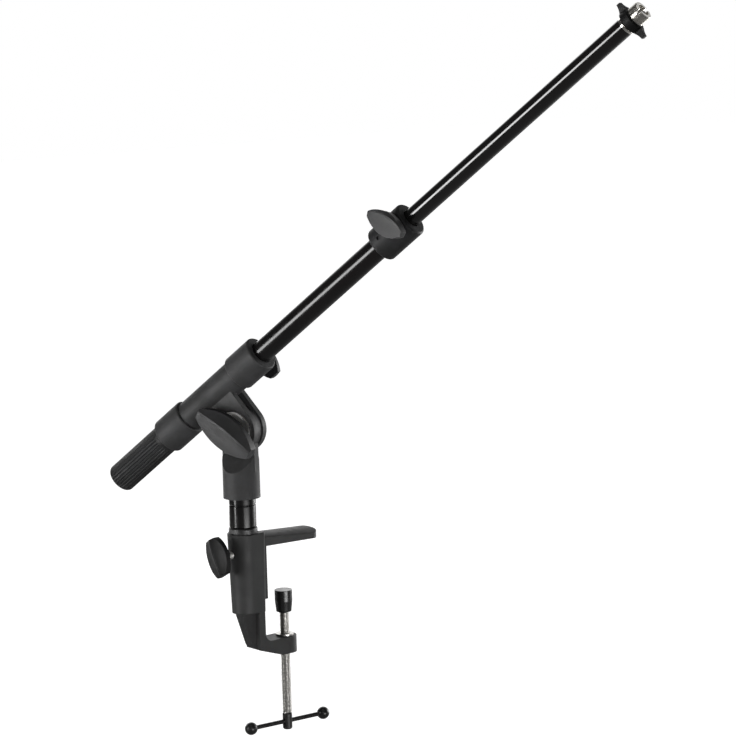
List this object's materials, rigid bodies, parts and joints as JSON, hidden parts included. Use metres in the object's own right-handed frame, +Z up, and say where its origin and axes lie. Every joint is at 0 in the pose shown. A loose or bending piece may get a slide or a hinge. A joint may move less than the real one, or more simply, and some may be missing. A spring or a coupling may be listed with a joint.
{
  "type": "microphone boom arm",
  "caption": "Desk clamp with a turning post, a tilting barrel with wing knobs and a telescopic tubular boom that ends in a threaded microphone adaptor.",
  "frame": {"origin": "on the desk top under the upper jaw, on the clamp spindle's axis", "axes": "+X from the desk's edge in over the desk, +Z up along the spindle and the stub rod"},
  "size_m": [0.1957, 0.451, 0.5915],
  "materials": {
    "moulded_black": "fine textured black moulded plastic",
    "cast_black": "satin black coat on a metal casting",
    "gloss_black": "gloss black coated steel tube",
    "ribbed_grip": "ribbed matt black",
    "cap_black": "half gloss black plastic",
    "zinc": "bright zinc plated steel",
    "black_steel": "blackened steel rod",
    "nickel": "bright nickel plate",
    "liner_plastic": "slick dark plastic",
    "brass_pads": "plain brass"
  },
  "bodies": {
    "clamp": {"clamp_frame": "cast_black", "spindle_bush": "zinc"},
    "pad": {"pad_cap": "cap_black"},
    "spindle": {"spindle": "zinc"},
    "tommy_bar": {"tommy_bar": "black_steel", "ball_knobs": "cap_black"},
    "rod_lock_pad": {"rod_lock_pad": "brass_pads"},
    "rod_lock_knob": {"rod_lock_screw": "zinc", "rod_lock_knob": "moulded_black"},
    "glide_ring": {"glide_ring": "liner_plastic"},
    "stub": {"stub_rod": "gloss_black", "joint_socket": "moulded_black", "friction_discs": "liner_plastic"},
    "barrel": {"barrel": "moulded_black", "barrel_liner": "liner_plastic", "tilt_bolt": "zinc"},
    "joint_washer": {"joint_washer": "zinc"},
    "joint_knob": {"joint_knob": "moulded_black", "joint_knob_insert": "zinc"},
    "boom_lock_pad": {"boom_lock_pad": "brass_pads"},
    "boom_lock_knob": {"boom_lock_screw": "zinc", "boom_lock_knob": "moulded_black"},
    "rear_collar": {"rear_collar": "moulded_black"},
    "boom": {"outer_tube": "gloss_black", "tail_grip": "ribbed_grip", "telescope_collar": "moulded_black", "telescope_liner": "liner_plastic"},
    "telescope_pad": {"telescope_pad": "brass_pads"},
    "telescope_knob": {"telescope_screw": "zinc", "telescope_knob": "moulded_black"},
    "guide_plug": {"guide_plug": "liner_plastic"},
    "inner_tube": {"inner_tube": "gloss_black", "tip_plug": "nickel"},
    "lock_ring_insert": {"lock_ring_insert": "zinc"},
    "lock_ring": {"lock_ring": "moulded_black"},
    "thread_adaptor": {"thread_adaptor": "nickel"}
  },
  "joints": [
    {"name": "pad_lift", "type": "slide", "parent": "clamp", "child": "pad", "axis": [0, 0, 1], "range_m": [-0.01625, 0.04]},
    {"name": "spindle_turn", "type": "hinge", "parent": "pad", "child": "spindle", "pos_m": [0, 0, -0.06], "axis": [0, 0, 1], "range_deg": [-4680, 11520]},
    {"name": "tommy_slide", "type": "slide", "parent": "spindle", "child": "tommy_bar", "axis": [0.9981, -0.061, 0], "range_m": [-0.026, 0.026]},
    {"name": "rod_lock_travel", "type": "slide", "parent": "clamp", "child": "rod_lock_pad", "axis": [-1, 0, 0], "range_m": [0, 0.003]},
    {"name": "rod_lock_turn", "type": "hinge", "parent": "rod_lock_pad", "child": "rod_lock_knob", "pos_m": [-0.0508, 0, -0.005], "axis": [-1, 0, 0], "range_deg": [0, 1080]},
    {"name": "stub_lift", "type": "slide", "parent": "clamp", "child": "glide_ring", "axis": [0, 0, 1], "range_m": [0, 0.03]},
    {"name": "stub_turn", "type": "hinge", "parent": "glide_ring", "child": "stub", "pos_m": [-0.0388, 0, 0.014], "axis": [0, 0, 1], "continuous": true},
    {"name": "boom_tilt", "type": "hinge", "parent": "stub", "child": "barrel", "pos_m": [-0.0388, 0, 0.0969], "axis": [-0.9272, -0.3746, 0], "range_deg": [-98, 52]},
    {"name": "washer_travel", "type": "slide", "parent": "barrel", "child": "joint_washer", "axis": [-0.9272, -0.3746, 0], "range_m": [0, 0.0025]},
    {"name": "joint_knob_turn", "type": "hinge", "parent": "joint_washer", "child": "joint_knob", "pos_m": [-0.04993, -0.0045, 0.0969], "axis": [-0.9272, -0.3746, 0], "range_deg": [0, 720]},
    {"name": "boom_lock_travel", "type": "slide", "parent": "barrel", "child": "boom_lock_pad", "axis": [0.9272, 0.3746, 0], "range_m": [0, 0.003]},
    {"name": "boom_lock_turn", "type": "hinge", "parent": "boom_lock_pad", "child": "boom_lock_knob", "pos_m": [-0.02356, -0.00569, 0.15046], "axis": [0.9272, 0.3746, 0], "range_deg": [0, 1080]},
    {"name": "boom_roll", "type": "hinge", "parent": "barrel", "child": "rear_collar", "pos_m": [-0.06015, 0.05285, 0.09618], "axis": [-0.2928, 0.7246, -0.6239], "continuous": true},
    {"name": "boom_slide", "type": "slide", "parent": "rear_collar", "child": "boom", "axis": [0.2928, -0.7246, 0.6239], "range_m": [-0.13, 0]},
    {"name": "telescope_travel", "type": "slide", "parent": "boom", "child": "telescope_pad", "axis": [-0.9557, -0.2007, 0.2154], "range_m": [0, 0.003]},
    {"name": "telescope_turn", "type": "hinge", "parent": "telescope_pad", "child": "telescope_knob", "pos_m": [0.0086, -0.14299, 0.26522], "axis": [-0.9557, -0.2007, 0.2154], "range_deg": [0, 1080]},
    {"name": "boom_extend", "type": "slide", "parent": "boom", "child": "guide_plug", "axis": [0.2928, -0.7246, 0.6239], "range_m": [-0.21, 0.055]},
    {"name": "inner_roll", "type": "hinge", "parent": "guide_plug", "child": "inner_tube", "pos_m": [-0.00599, -0.0812, 0.2116], "axis": [0.2928, -0.7246, 0.6239], "continuous": true},
    {"name": "ring_travel", "type": "slide", "parent": "inner_tube", "child": "lock_ring_insert", "axis": [-0.2928, 0.7246, -0.6239], "range_m": [0, 0.00111]},
    {"name": "ring_turn", "type": "hinge", "parent": "lock_ring_insert", "child": "lock_ring", "pos_m": [0.09097, -0.32119, 0.41823], "axis": [-0.2928, 0.7246, -0.6239], "range_deg": [0, 250]},
    {"name": "adaptor_off", "type": "slide", "parent": "inner_tube", "child": "thread_adaptor", "axis": [0.2928, -0.7246, 0.6239], "range_m": [0, 0.02]}
  ],
  "couplings": [
    {"joint": "pad_lift", "follows": "spindle_turn", "m_per_rad": 0.00019894},
    {"joint": "rod_lock_travel", "follows": "rod_lock_turn", "m_per_rad": 0.00015915},
    {"joint": "washer_travel", "follows": "joint_knob_turn", "m_per_rad": 0.00019894},
    {"joint": "boom_lock_travel", "follows": "boom_lock_turn", "m_per_rad": 0.00015915},
    {"joint": "telescope_travel", "follows": "telescope_turn", "m_per_rad": 0.00015915},
    {"joint": "ring_travel", "follows": "ring_turn", "m_per_rad": 0.00025266}
  ]
}
